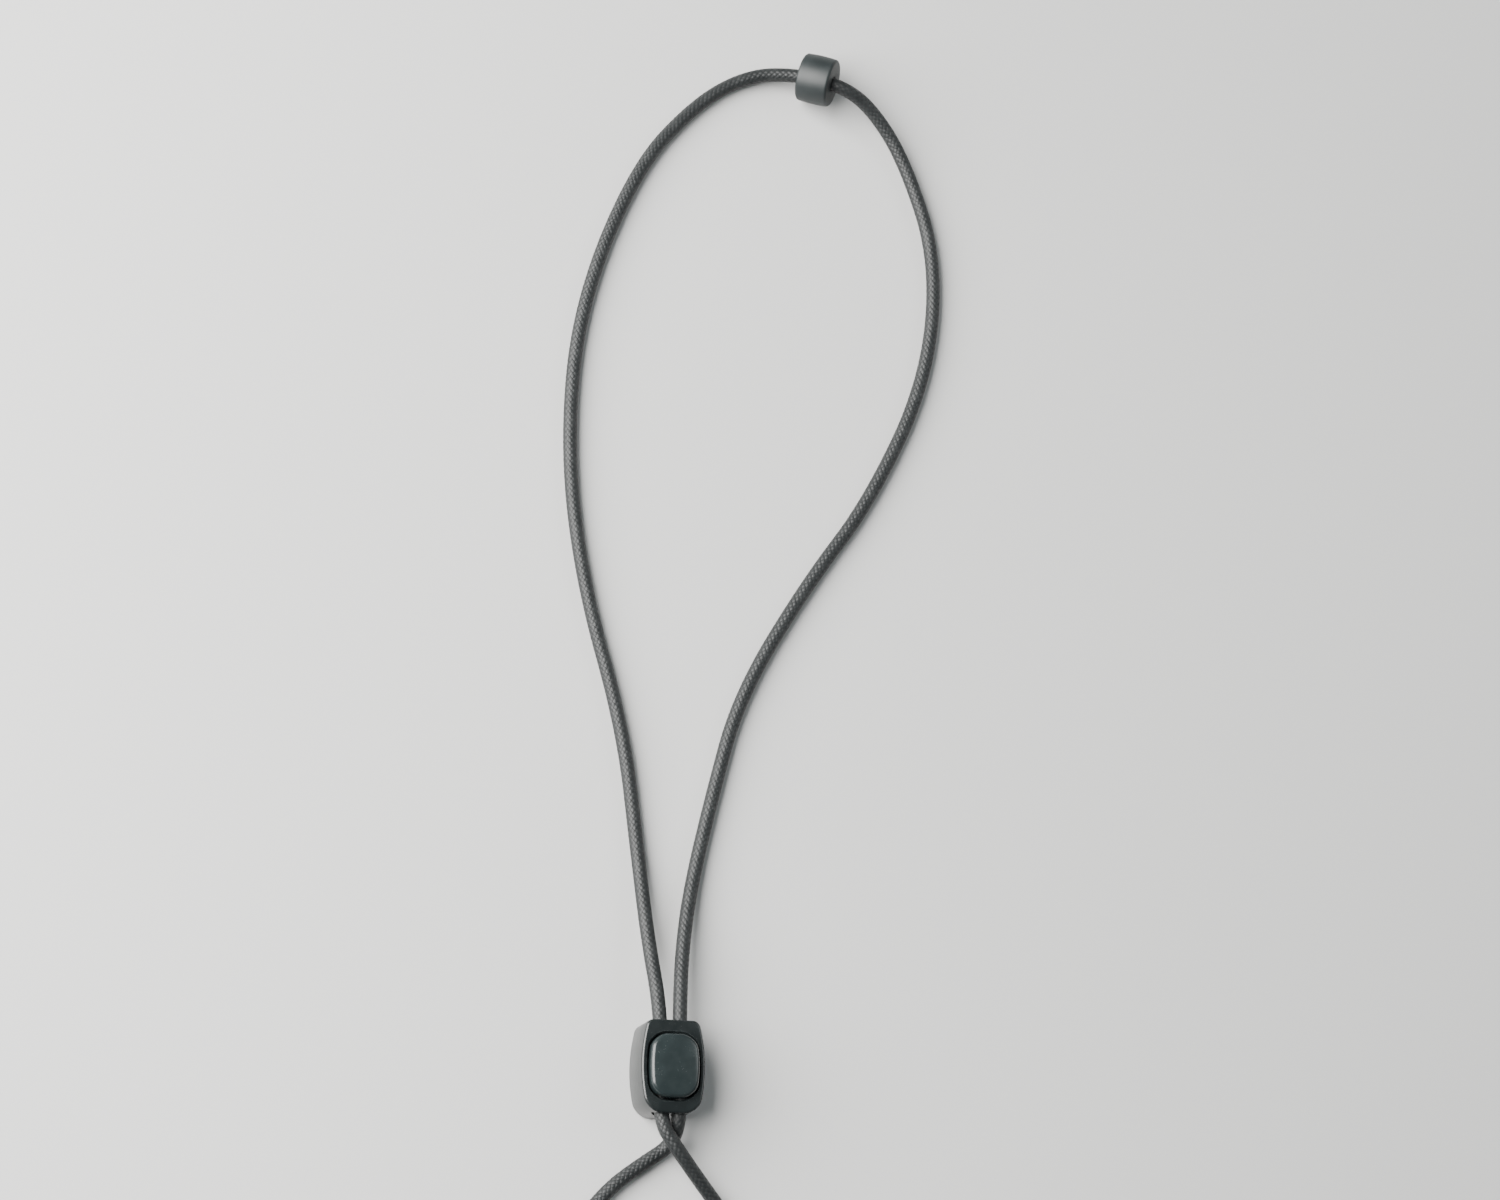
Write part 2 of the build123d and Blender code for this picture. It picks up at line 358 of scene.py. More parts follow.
def braid_group() -> bpy.types.NodeTree:
    """A tubular braid: yarns that run both ways round and pass over and under each other.

    Returns:
        The group, with Height, Filament and Gap outputs.
    """
    group, graph, given, end = new_group(
        "Tubular braid",
        {"Along": 0.0, "Around": 0.0, "Yarns Each Way": 8.0, "Pitch": 0.0013, "Filaments": 4.0},
        ("Height", "Filament", "Gap"),
        vector=False,
    )
    turn = graph.math("MULTIPLY", given["Around"], given["Yarns Each Way"])
    run = graph.math("DIVIDE", given["Along"], given["Pitch"])
    right = graph.math("ADD", turn, run)
    left = graph.math("SUBTRACT", turn, run)
    crowns = []
    for lane in (right, left):
        crowns.append(graph.math("ABSOLUTE", graph.math("SINE", graph.math("MULTIPLY", lane, math.pi))))
    checks = graph.math("ADD", graph.math("FLOOR", right), graph.math("FLOOR", left))
    over = graph.math("FLOORED_MODULO", checks, 2.0)
    under = graph.math("SUBTRACT", 1.0, over)
    bulges = []
    for across, along, shown in ((crowns[0], crowns[1], over), (crowns[1], crowns[0], under)):
        width = graph.math("POWER", across, 0.5)
        bulge = graph.math("MULTIPLY", width, graph.math("MULTIPLY_ADD", along, 0.45, 0.55))
        bulges.append(graph.math("MULTIPLY", bulge, shown))
    height = graph.math("ADD", bulges[0], bulges[1])
    lines = []
    for lane, shown in ((right, over), (left, under)):
        angle = graph.math("MULTIPLY", graph.math("MULTIPLY", lane, given["Filaments"]), 2 * math.pi)
        wave = graph.math("MULTIPLY_ADD", graph.math("SINE", angle), 0.5, 0.5)
        lines.append(graph.math("MULTIPLY", wave, shown))
    graph.feed(end.inputs["Height"], height)
    graph.feed(end.inputs["Filament"], graph.math("ADD", lines[0], lines[1]))
    # Gap marks the low places between yarns, where the cover paints shade
    graph.feed(end.inputs["Gap"], graph.spread(height, 0.5, 0.12))
    return group


@dataclass(frozen=True)
class Effects:
    """The shader groups that the finishes share."""

    grain: bpy.types.NodeTree
    wear: bpy.types.NodeTree
    dust: bpy.types.NodeTree
    parting: bpy.types.NodeTree
    braid: bpy.types.NodeTree

    @classmethod
    def build(cls) -> "Effects":
        """Makes each group once.

        Returns:
            The groups.
        """
        return cls(
            moulded_grain_group(), edge_wear_group(), dust_group(), parting_line_group(), braid_group()
        )


def new_material(name: str) -> tuple[bpy.types.Material, Graph]:
    """Starts a material with an empty graph.

    Args:
        name: The material's name.

    Returns:
        The material and its graph.
    """
    material = bpy.data.materials.new(name)
    material.use_nodes = True
    material.node_tree.nodes.clear()
    return material, Graph(material.node_tree)


# ---- finishes -----------------------------------------------------------------------------------


@dataclass(frozen=True)
class MouldedAcetal:
    """Satin dark grey moulded acetal, finely grained and a little rubbed on its edges."""

    name: str
    base: Colour
    worn: Colour = (0.085, 0.095, 0.096)
    dust_colour: Colour = (0.20, 0.20, 0.19)
    roughness: float = 0.24
    grain_size: float = 0.00014
    grain_depth: float = 0.000012
    edge_width: float = 0.00028
    dust_amount: float = 0.035
    mottle: float = 0.08
    parting_normal: Point = (0.0, 0.0, 1.0)
    parting_offset: float = 0.00745

    def material(self, effects: Effects) -> bpy.types.Material:
        """Makes the material.

        Args:
            effects: The shared groups.

        Returns:
            The material.
        """
        material, graph = new_material(self.name)
        place = graph.add("TexCoord").outputs["Object"]
        grain = graph.place(effects.grain, Position=place, Grain_Size=self.grain_size)
        wear = graph.place(effects.wear, Position=place, Edge_Width=self.edge_width)
        dust = graph.place(effects.dust, Position=place, Amount=self.dust_amount)
        parting = graph.place(
            effects.parting,
            Position=place,
            Normal_X=self.parting_normal[0],
            Normal_Y=self.parting_normal[1],
            Normal_Z=self.parting_normal[2],
            Offset=self.parting_offset,
        )
        darker = tuple(part * (1.0 - self.mottle) for part in self.base)
        lighter = tuple(part * (1.0 + self.mottle) for part in self.base)
        colour = graph.mix(grain.outputs["Mottle"], darker, lighter)
        colour = graph.mix(graph.math("MULTIPLY", wear.outputs["Mask"], 0.45), colour, self.worn)
        colour = graph.mix(dust.outputs["Mask"], colour, self.dust_colour)
        rough = graph.math("MULTIPLY_ADD", grain.outputs["Mottle"], 0.03, self.roughness)
        rough = graph.math("MULTIPLY_ADD", wear.outputs["Mask"], -0.08, rough)
        rough = graph.math("MULTIPLY_ADD", dust.outputs["Mask"], 0.5, rough, clamp=True)
        height = graph.math("MULTIPLY_ADD", parting.outputs["Line"], 2.5, grain.outputs["Height"])
        graph.finish_shader(colour, rough, graph.bump(height, self.grain_depth, 0.7), IOR=1.48)
        return material


@dataclass(frozen=True)
class DrawnSteel:
    """Stainless spring wire with fine drawing lines along it."""

    name: str
    base: Colour = (0.56, 0.55, 0.53)
    shade: Colour = (0.30, 0.29, 0.28)
    roughness: float = 0.28

    def material(self, effects: Effects) -> bpy.types.Material:
        """Makes the material.

        Args:
            effects: The shared groups.

        Returns:
            The material.
        """
        material, graph = new_material(self.name)
        place = graph.add("TexCoord").outputs["Object"]
        grain = graph.place(effects.grain, Position=place, Grain_Size=0.00006, Flow_Size=0.0012)
        stretched = graph.add("Mapping")
        graph.feed(stretched.inputs["Vector"], place)
        stretched.inputs["Scale"].default_value = (1.0, 1.0, 14.0)
        lines = graph.noise(stretched.outputs[0], 2600.0, 2.0, 0.5)
        colour = graph.mix(graph.math("MULTIPLY", grain.outputs["Mottle"], 0.5), self.base, self.shade)
        rough = graph.math("MULTIPLY_ADD", lines, 0.18, self.roughness, clamp=True)
        graph.finish_shader(colour, rough, graph.bump(lines, 0.000006, 0.6), Metallic=1.0)
        return material


@dataclass(frozen=True)
class BraidedCover:
    """Dark polyester cover braided over an elastic core, with painted highlight on the raised yarn crowns
    and painted shade in the low gaps between yarns.
    """

    name: str
    yarn: Colour = (0.0046, 0.0062, 0.0067)
    # painted highlight: the colour of the raised yarn crowns, lighter than the yarn
    crown: Colour = (0.0110, 0.0138, 0.0144)
    # painted shade: the colour of the low gaps between yarns, also drawn over the filament stripes
    gap: Colour = (0.003, 0.0035, 0.004)
    lint: Colour = (0.12, 0.125, 0.125)
    roughness: float = 0.50
    yarns_each_way: int = 8
    pitch: float = 0.0013
    relief: float = 0.00011

    def material(self, effects: Effects) -> bpy.types.Material:
        """Makes the material, which reads distance along and share round from the UV map.

        Args:
            effects: The shared groups.

        Returns:
            The material.
        """
        material, graph = new_material(self.name)
        coordinates = graph.add("TexCoord")
        parts = graph.add("SeparateXYZ")
        graph.feed(parts.inputs[0], coordinates.outputs["UV"])
        braid = graph.place(
            effects.braid,
            Along=parts.outputs["X"],
            Around=parts.outputs["Y"],
            Yarns_Each_Way=float(self.yarns_each_way),
            Pitch=self.pitch,
        )
        place = coordinates.outputs["Object"]
        grain = graph.place(effects.grain, Position=place, Grain_Size=0.00009, Flow_Size=0.012)
        dust = graph.place(effects.dust, Position=place, Speck_Size=0.00035, Amount=0.18)
        # painted highlight: the higher the braid's relief, the more of the lighter crown colour
        crown = graph.spread(braid.outputs["Height"], 0.55, 1.0, 0.0, 0.75)
        colour = graph.mix(crown, self.yarn, self.crown)
        # the filament stripes darken towards the gap colour, and the low gaps take it fully as painted shade
        colour = graph.mix(graph.math("MULTIPLY", braid.outputs["Filament"], 0.35), colour, self.gap)
        colour = graph.mix(braid.outputs["Gap"], colour, self.gap)
        colour = graph.mix(graph.math("MULTIPLY", grain.outputs["Mottle"], 0.25), colour, self.yarn)
        colour = graph.mix(dust.outputs["Mask"], colour, self.lint)
        height = graph.math("MULTIPLY_ADD", braid.outputs["Filament"], 0.18, braid.outputs["Height"])
        height = graph.math("MULTIPLY_ADD", grain.outputs["Height"], 0.08, height)
        rough = graph.math("MULTIPLY_ADD", braid.outputs["Gap"], 0.35, self.roughness, clamp=True)
        normal = graph.bump(height, self.relief, 0.9)
        graph.finish_shader(colour, rough, normal, Sheen_Weight=0.04, Sheen_Roughness=0.4)
        return material


@dataclass(frozen=True)
class StudioPaper:
    """Pale matt paper of the studio floor."""

    name: str = "studio_paper"
    base: Colour = (0.53, 0.53, 0.527)
    shade: float = 0.985

    def material(self) -> bpy.types.Material:
        """Makes the material.

        Returns:
            The material.
        """
        material, graph = new_material(self.name)
        place = graph.add("TexCoord").outputs["Object"]
        fibre = graph.noise(place, 900.0, 4.0, 0.6)
        broad = graph.noise(place, 3.0, 2.0, 0.5)
        darker = tuple(part * self.shade for part in self.base)
        colour = graph.mix(graph.spread(broad, 0.3, 0.7), darker, self.base)
        graph.finish_shader(colour, 0.82, graph.bump(fibre, 0.00002, 0.4))
        return material


# ---- shapes -------------------------------------------------------------------------------------


def finished_object(name: str, mesh: BMesh, sharp_deg: float = 40.0) -> bpy.types.Object:
    """Turns a bmesh into an object at the origin, smooth apart from its sharp edges.

    Args:
        name: The object's name.
        mesh: The bmesh, which is freed.
        sharp_deg: Edges that turn by more than this stay sharp.

    Returns:
        The new object.
    """
    data = bpy.data.meshes.new(name)
    for face in mesh.faces:
        face.smooth = True
    for edge in mesh.edges:
        if len(edge.link_faces) == 2:
            edge.smooth = edge.calc_face_angle(0.0) < math.radians(sharp_deg)
    mesh.to_mesh(data)
    mesh.free()
    piece = bpy.data.objects.new(name, data)
    bpy.context.scene.collection.objects.link(piece)
    return piece


def dress(
    piece: bpy.types.Object, material: bpy.types.Material, body: Body
) -> bpy.types.Object:
    """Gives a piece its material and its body.

    Args:
        piece: The object.
        material: Its material.
        body: The body that it rides on.

    Returns:
        The same object.
    """
    piece.data.materials.clear()
    piece.data.materials.append(material)
    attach(piece, body.value)
    return piece


@dataclass(frozen=True)
class BarrelForm:
    """A block with flat ends and bowed sides, rounded at its corners and at its two flat faces."""

    length: float
    width_mid: float
    width_end: float
    corner_r: float
    z_low: float
    z_high: float
    front_corner_r: Optional[float] = None
    low_edge_r: float = 0.0
    high_edge_r: float = 0.0
    side_loops: int = 14
    corner_segments: int = 7
    edge_segments: int = 6

    def build(self) -> BMesh:
        """Makes the block from a cube that is cut, bowed and bevelled.

        Returns:
            The closed bmesh.
        """
        mesh = bmesh.new()
        size = (self.width_end, self.length, self.z_high - self.z_low)
        middle = Vector((0.0, 0.0, (self.z_low + self.z_high) / 2))
        place = Matrix.Translation(middle) @ Matrix.Diagonal((*size, 1.0))
        bmesh.ops.create_cube(mesh, size=1.0, matrix=place)
        near_r = self.corner_r if self.front_corner_r is None else self.front_corner_r
        for sign, radius in ((1, self.corner_r), (-1, near_r)):
            self._round(mesh, lambda edge: self._is_corner(edge, sign), radius, self.corner_segments)
        for loop in range(1, self.side_loops):
            y = self.length * (loop / self.side_loops - 0.5)
            if y > self.length / 2 - self.corner_r or y < near_r - self.length / 2:
                continue
            everything = mesh.verts[:] + mesh.edges[:] + mesh.faces[:]
            bmesh.ops.bisect_plane(
                mesh, geom=everything, dist=1e-7, plane_co=(0.0, y, 0.0), plane_no=(0.0, 1.0, 0.0)
            )
        bulge = (self.width_mid - self.width_end) / self.width_end
        for vert in mesh.verts:
            vert.co.x *= 1.0 + bulge * (1.0 - (2.0 * vert.co.y / self.length) ** 2)
        for height, radius in ((self.z_low, self.low_edge_r), (self.z_high, self.high_edge_r)):
            if radius:
                self._round(mesh, lambda edge: self._on_rim(edge, height), radius, self.edge_segments)
        bmesh.ops.recalc_face_normals(mesh, faces=mesh.faces[:])
        return mesh

    def _is_corner(self, edge: BMEdge, sign: int) -> bool:
        """Whether an edge is an upright corner of the end on that side of Y.

        Args:
            edge: The edge.
            sign: 1 for the end at high Y and -1 for the other.

        Returns:
            True for such a corner.
        """
        step = edge.verts[0].co - edge.verts[1].co
        upright = abs(step.z) > 1e-6 and abs(step.x) + abs(step.y) < 1e-7
        return upright and abs(edge.verts[0].co.y * sign - self.length / 2) < 1e-7

    @staticmethod
    def _on_rim(edge: BMEdge, height: float) -> bool:
        """Whether an edge lies on the outline at that height.

        Args:
            edge: The edge.
            height: The height.

        Returns:
            True for an edge of the outline.
        """
        level = all(abs(vert.co.z - height) < 1e-7 for vert in edge.verts)
        upright = any(abs(face.normal.z) < 0.5 for face in edge.link_faces)
        return level and upright

    @staticmethod
    def _round(mesh: BMesh, chosen: Callable[[BMEdge], bool], radius: float, segments: int) -> None:
        """Bevels the chosen edges.

        Args:
            mesh: The bmesh.
            chosen: Says whether an edge is one of them.
            radius: The bevel's width along each face.
            segments: Its segments.
        """
        mesh.normal_update()
        bmesh.ops.bevel(
            mesh,
            geom=[edge for edge in mesh.edges if chosen(edge)],
            offset=radius,
            offset_type="OFFSET",
            affect="EDGES",
            segments=segments,
            profile=0.5,
            material=-1,
            clamp_overlap=True,
        )


def combined(
    name: str, base: BMesh, cutters: Sequence[tuple[str, BMesh]], rim: float, rim_segments: int = 3
) -> BMesh:
    """Cuts or joins closed shapes, then rounds the edges that this leaves.

    Args:
        name: A name for the working object.
        base: The bmesh to start from, which is freed.
        cutters: Pairs of a boolean operation and the bmesh that it uses, which is freed.
        rim: The radius of the rounded edges.
        rim_segments: The segments across them.

    Returns:
        The combined bmesh.
    """
    scene = bpy.context.scene
    target = finished_object(name, base)
    helpers = []
    for number, (operation, cutter) in enumerate(cutters):
        helper = finished_object(f"{name}_tool_{number}", cutter)
        modifier = target.modifiers.new(f"cut_{number}", "BOOLEAN")
        modifier.operation = operation
        modifier.solver = "EXACT"
        modifier.object = helper
        helpers.append(helper)
    if rim:
        soft = target.modifiers.new("rims", "BEVEL")
        soft.width = rim
        soft.segments = rim_segments
        soft.limit_method = "ANGLE"
        soft.angle_limit = math.radians(50.0)
        soft.use_clamp_overlap = True
    bpy.context.view_layer.update()
    shape = bpy.data.meshes.new_from_object(target.evaluated_get(bpy.context.evaluated_depsgraph_get()))
    result = bmesh.new()
    result.from_mesh(shape)
    for item in (target, *helpers):
        data = item.data
        scene.collection.objects.unlink(item)
        bpy.data.objects.remove(item)
        bpy.data.meshes.remove(data)
    bpy.data.meshes.remove(shape)
    bmesh.ops.remove_doubles(result, verts=result.verts[:], dist=1e-7)
    bmesh.ops.dissolve_degenerate(result, edges=result.edges[:], dist=1e-7)
    return result


def round_bar(x: float, z: float, radius: float, y_low: float, y_high: float, segments: int = 40) -> BMesh:
    """A closed round bar along Y.

    Args:
        x: Its axis in X.
        z: Its axis in Z.
        radius: Its radius.
        y_low: Where it starts.
        y_high: Where it ends.
        segments: Its sides.

    Returns:
        The bmesh.
    """
    mesh = bmesh.new()
    place = Matrix.Translation((x, (y_low + y_high) / 2, z)) @ Matrix.Rotation(math.radians(90.0), 4, "X")
    bmesh.ops.create_cone(
        mesh,
        cap_ends=True,
        segments=segments,
        radius1=radius,
        radius2=radius,
        depth=y_high - y_low,
        matrix=place,
    )
    return mesh


def rounded_box(low: Point, high: Point, axis: int, radius: float, segments: int = 8) -> BMesh:
    """A box whose edges along one axis are rounded.

    Args:
        low: Its lowest corner.
        high: Its highest corner.
        axis: The axis of the rounded edges, 0 to 2.
        radius: Their radius.
        segments: Their segments.

    Returns:
        The bmesh.
    """
    mesh = bmesh.new()
    size = [high[i] - low[i] for i in range(3)]
    middle = [(high[i] + low[i]) / 2 for i in range(3)]
    bmesh.ops.create_cube(mesh, size=1.0, matrix=Matrix.Translation(middle) @ Matrix.Diagonal((*size, 1.0)))
    along = [edge for edge in mesh.edges if abs((edge.verts[0].co - edge.verts[1].co)[axis]) > 1e-6]
    bmesh.ops.bevel(
        mesh, geom=along, offset=radius, affect="EDGES", segments=segments, profile=0.5, material=-1
    )
    return mesh


def upright_pin(radius: float, z_low: float, z_high: float, segments: int = 40) -> BMesh:
    """A closed round pin along Z on the lock's axis.

    Args:
        radius: Its radius.
        z_low: Where it starts.
        z_high: Where it ends.
        segments: Its sides.

    Returns:
        The bmesh.
    """
    mesh = bmesh.new()
    place = Matrix.Translation((0.0, 0.0, (z_low + z_high) / 2))
    bmesh.ops.create_cone(
        mesh,
        cap_ends=True,
        segments=segments,
        radius1=radius,
        radius2=radius,
        depth=z_high - z_low,
        matrix=place,
    )
    return mesh


# ---- the lock -----------------------------------------------------------------------------------


@dataclass(frozen=True)
class LockSizes:
    """The sizes that the body, the button and the spring share, in metres."""

    strand_x: float = 2.1 * MM
    cord_z: float = 7.45 * MM
    back_wall: float = 1.2 * MM
    button_length: float = 13.2 * MM
    button_width_mid: float = 10.4 * MM
    button_width_end: float = 8.8 * MM
    button_corner_r: float = 3.0 * MM
    button_gap: float = 0.3 * MM
    bar_top: float = 5.85 * MM
    bar_bottom: float = 4.65 * MM
    slot_top: float = 10.95 * MM
    slot_r: float = 1.65 * MM
    skirt_bottom: float = 3.2 * MM
    boss_r: float = 1.8 * MM
    lug_length: float = 3.6 * MM
    lug_height: float = 1.0 * MM
    lug_reach: float = 5.95 * MM
    boss_root: float = 0.2 * MM

    def button_form(self, z_low: float, z_high: float, grow: float = 0.0, edge_r: float = 0.0) -> BarrelForm:
        """The button's block, or its opening's with grow as the gap.

        Args:
            z_low: Where it starts.
            z_high: Where it ends.
            grow: The gap all round.
            edge_r: The rounding of its upper edge.

        Returns:
            The form.
        """
        return BarrelForm(
            self.button_length + 2 * grow,
            self.button_width_mid + 2 * grow,
            self.button_width_end + 2 * grow,
            self.button_corner_r + grow,
            z_low,
            z_high,
            high_edge_r=edge_r,
            corner_segments=12,
        )


@dataclass(frozen=True)
class LockBody:
    """The hollow moulding that holds the button and the two strands."""

    sizes: LockSizes
    finish: MouldedAcetal
    width_end: float = 10.8 * MM
    corner_r: float = 1.2 * MM
    low_corner_r: float = 3.0 * MM
    back_edge_r: float = 2.2 * MM
    front_edge_r: float = 0.8 * MM
    hole_r: float = 1.7 * MM
    hole_flare: float = 0.3 * MM
    flare_depth: float = 0.6 * MM
    rim_r: float = 0.12 * MM
    seat_height: float = 0.5 * MM
    groove_low: float = 1.3 * MM
    groove_high: float = 4.3 * MM
    groove_side: float = 0.2 * MM
    groove_corner_r: float = 0.1 * MM
    lip_width: float = 0.32 * MM
    lip_over: float = 0.4 * MM

    def build(self, effects: Effects) -> bpy.types.Object:
        """Builds and dresses the body.

        Args:
            effects: The shared groups.

        Returns:
            The piece.
        """
        low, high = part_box("lock_body")
        length, width_mid = high.y - low.y, high.x - low.x
        shell = BarrelForm(
            length,
            width_mid,
            self.width_end,
            self.corner_r,
            low.z,
            high.z,
            self.low_corner_r,
            self.back_edge_r,
            self.front_edge_r,
        )
        s = self.sizes
        cuts = [("DIFFERENCE", s.button_form(s.back_wall, high.z + MM, s.button_gap).build())]
        cuts.append(("DIFFERENCE", self._lip(high.z)))
        for side in (-1, 1):
            for end in (-1, 1):
                near, far = end * s.button_length / 2, end * (length / 2 + MM)
                x = side * s.strand_x
                hole = round_bar(x, s.cord_z, self.hole_r, min(near, far), max(near, far))
                cuts.append(("DIFFERENCE", hole))
                mouth = end * (length / 2 - self.flare_depth)
                flare = round_bar(x, s.cord_z, self.hole_r, min(mouth, far), max(mouth, far))
                self._flare(flare, x, mouth, end)
                cuts.append(("DIFFERENCE", flare))
        reach = s.lug_reach + self.groove_side
        half = s.lug_length / 2 + self.groove_side
        low_corner, high_corner = (-reach, -half, self.groove_low), (reach, half, self.groove_high)
        groove = rounded_box(low_corner, high_corner, 2, self.groove_corner_r, 2)
        cuts.append(("DIFFERENCE", groove))
        seat = upright_pin(s.boss_r, s.back_wall - s.boss_root, s.back_wall + self.seat_height)
        cuts.append(("UNION", seat))
        mesh = combined("lock_body_shape", shell.build(), cuts, self.rim_r)
        piece = finished_object("body_moulding", mesh)
        dress(piece, self.finish.material(effects), Body.ROOT)
        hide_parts("lock_body")
        return piece

    def _flare(self, bar: BMesh, x: float, mouth: float, end: int) -> None:
        """Widens the outer end of a bar that cuts a hole's mouth.

        Args:
            bar: The bar, which starts at the mouth's inner end.
            x: Its axis in X.
            mouth: Where the flare starts.
            end: 1 at the loop end and -1 at the other.
        """
        for vert in bar.verts:
            out = end * (vert.co.y - mouth)
            if out > 1e-6:
                share = 1.0 + self.hole_flare * out / self.flare_depth / self.hole_r
                vert.co.x = x + (vert.co.x - x) * share
                vert.co.z = self.sizes.cord_z + (vert.co.z - self.sizes.cord_z) * share

    def _lip(self, front: float) -> BMesh:
        """The cutter that bevels the opening's front edge, wider towards the front.

        Args:
            front: The height of the body's front.

        Returns:
            The cutter.
        """
        s = self.sizes
        cutter = s.button_form(front - self.lip_width, front + self.lip_over, s.button_gap).build()
        cutter.normal_update()
        for vert in cutter.verts:
            if vert.co.z > front:
                outward = Vector((vert.normal.x, vert.normal.y, 0.0)).normalized()
                vert.co += outward * (self.lip_width + self.lip_over)
        return cutter


@dataclass(frozen=True)
class Button:
    """The crowned button with its two cord slots, nip bar, skirts and snap lugs."""

    sizes: LockSizes
    finish: MouldedAcetal
    crown_r: float = 45.0 * MM
    edge_r: float = 0.8 * MM
    crown_loops: int = 9
    skirt_side: float = 1.3 * MM
    skirt_end: float = 1.2 * MM
    boss_height: float = 0.7 * MM
    hollow_corner_r: float = 1.7 * MM
    slot_roundness: float = 0.999
    lug_depth: float = 1.4 * MM
    lug_corner_r: float = 0.1 * MM
    lug_lead_in: float = 0.35 * MM
    rim_r: float = 0.08 * MM

    def build(self, effects: Effects) -> bpy.types.Object:
        """Builds and dresses the button.

        Args:
            effects: The shared groups.

        Returns:
            The piece.
        """
        s = self.sizes
        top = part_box("button")[1].z
        block = s.button_form(s.skirt_bottom, top, edge_r=self.edge_r).build()
        self._crown(block, top)
        cuts: list[tuple[str, BMesh]] = []
        for side in (-1, 1):
            x, end = side * s.strand_x, s.button_length
            low, high = (x - s.slot_r, -end, s.bar_top), (x + s.slot_r, end, s.slot_top)
            slot = rounded_box(low, high, 1, s.slot_r * self.slot_roundness, 12)
            cuts.append(("DIFFERENCE", slot))
        hollow_x = s.button_width_mid / 2 - self.skirt_side
        hollow_y = s.button_length / 2 - self.skirt_end
        below = s.skirt_bottom - MM
        low, high = (-hollow_x, -hollow_y, below), (hollow_x, hollow_y, s.bar_bottom)
        hollow = rounded_box(low, high, 2, self.hollow_corner_r)
        cuts.append(("DIFFERENCE", hollow))
        boss = upright_pin(s.boss_r, s.bar_bottom - self.boss_height, s.bar_bottom + s.boss_root)
        cuts.append(("UNION", boss))
        for side in (-1, 1):
            cuts.append(("UNION", self._lug(side)))
        mesh = combined("button_shape", block, cuts, self.rim_r, 2)
        piece = finished_object("button_moulding", mesh)
        dress(piece, self.finish.material(effects), Body.BUTTON)
        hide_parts("button")
        return piece

    def _crown(self, block: BMesh, top: float) -> None:
        """Fills the top with shrinking loops and bends it to the crown.

        Args:
            block: The button's block.
            top: The height of the crown's middle.
        """
        block.normal_update()
        level = [face for face in block.faces if face.normal.z > 0.99]
        caps = [face for face in level if face.calc_center_median().z > top - 1e-6]
        bmesh.ops.dissolve_faces(block, faces=caps)
        cap = max(block.faces, key=lambda face: face.normal.z * face.calc_area())
        for loop in range(1, self.crown_loops):
            before = 1.0 - (loop - 1) / self.crown_loops
            share = (1.0 - loop / self.crown_loops) / before
            made = bmesh.ops.extrude_discrete_faces(block, faces=[cap])
            cap = made["faces"][0]
            bmesh.ops.scale(block, vec=(share, share, 1.0), verts=cap.verts[:])
        for vert in block.verts:
            if vert.co.z > top - self.edge_r - 1e-6:
                drop = self.crown_r - math.sqrt(self.crown_r**2 - vert.co.x**2 - vert.co.y**2)
                vert.co.z -= drop

    def _lug(self, side: int) -> BMesh:
        """Makes one snap lug with a sloped lead-in.

        Args:
            side: Which side of the button it is on, -1 or 1.

        Returns:
            The bmesh.
        """
        s = self.sizes
        inner = side * (s.lug_reach - self.lug_depth)
        outer = side * s.lug_reach
        low = (min(inner, outer), -s.lug_length / 2, s.skirt_bottom)
        high = (max(inner, outer), s.lug_length / 2, s.skirt_bottom + s.lug_height)
        lug = rounded_box(low, high, 2, self.lug_corner_r, 2)
        for vert in lug.verts:
            if vert.co.z < s.skirt_bottom + 1e-6 and abs(vert.co.x) > s.lug_reach - self.lug_lead_in:
                vert.co.x -= side * self.lug_lead_in
        return lug


@dataclass(frozen=True)
class Spring:
    """The compression coil under the nip bar, with its wire ends capped."""

    sizes: LockSizes
    finish: DrawnSteel
    outer_r: float = 2.3 * MM
    wire_r: float = 0.175 * MM
    turns: float = 3.5
    steps_per_turn: int = 40
    wire_sides: int = 14
    gap: float = 0.02 * MM
    pressed_length: float = 1.65 * MM

    def build(self, effects: Effects) -> bpy.types.Object:
        """Builds and dresses the spring.

        Args:
            effects: The shared groups.

        Returns:
            The piece.
        """
        s = self.sizes
        low = s.back_wall + self.gap + self.wire_r
        high = s.bar_bottom - self.gap - self.wire_r
        mesh = bmesh.new()
        centre = self.outer_r - self.wire_r
        place = Matrix.Translation((centre, 0.0, low)) @ Matrix.Rotation(math.radians(90.0), 4, "X")
        made = bmesh.ops.create_circle(mesh, segments=self.wire_sides, radius=self.wire_r, matrix=place)
        ring = made["verts"]
        steps = round(self.turns * self.steps_per_turn)
        edges = [edge for edge in mesh.edges if edge.verts[0] in ring]
        bmesh.ops.spin(
            mesh,
            geom=ring + edges,
            cent=(0.0, 0.0, low),
            axis=(0.0, 0.0, 1.0),
            dvec=(0.0, 0.0, (high - low) / steps),
            angle=self.turns * 2 * math.pi,
            steps=steps,
        )
        open_ends = [edge for edge in mesh.edges if edge.is_boundary]
        bmesh.ops.holes_fill(mesh, edges=open_ends, sides=self.wire_sides)
        bmesh.ops.recalc_face_normals(mesh, faces=mesh.faces[:])
        piece = finished_object("spring_coil", mesh, 60.0)
        dress(piece, self.finish.material(effects), Body.ROOT)
        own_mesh(piece)
        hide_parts("spring")
        return piece


# ---- the cord and its bead ----------------------------------------------------------------------


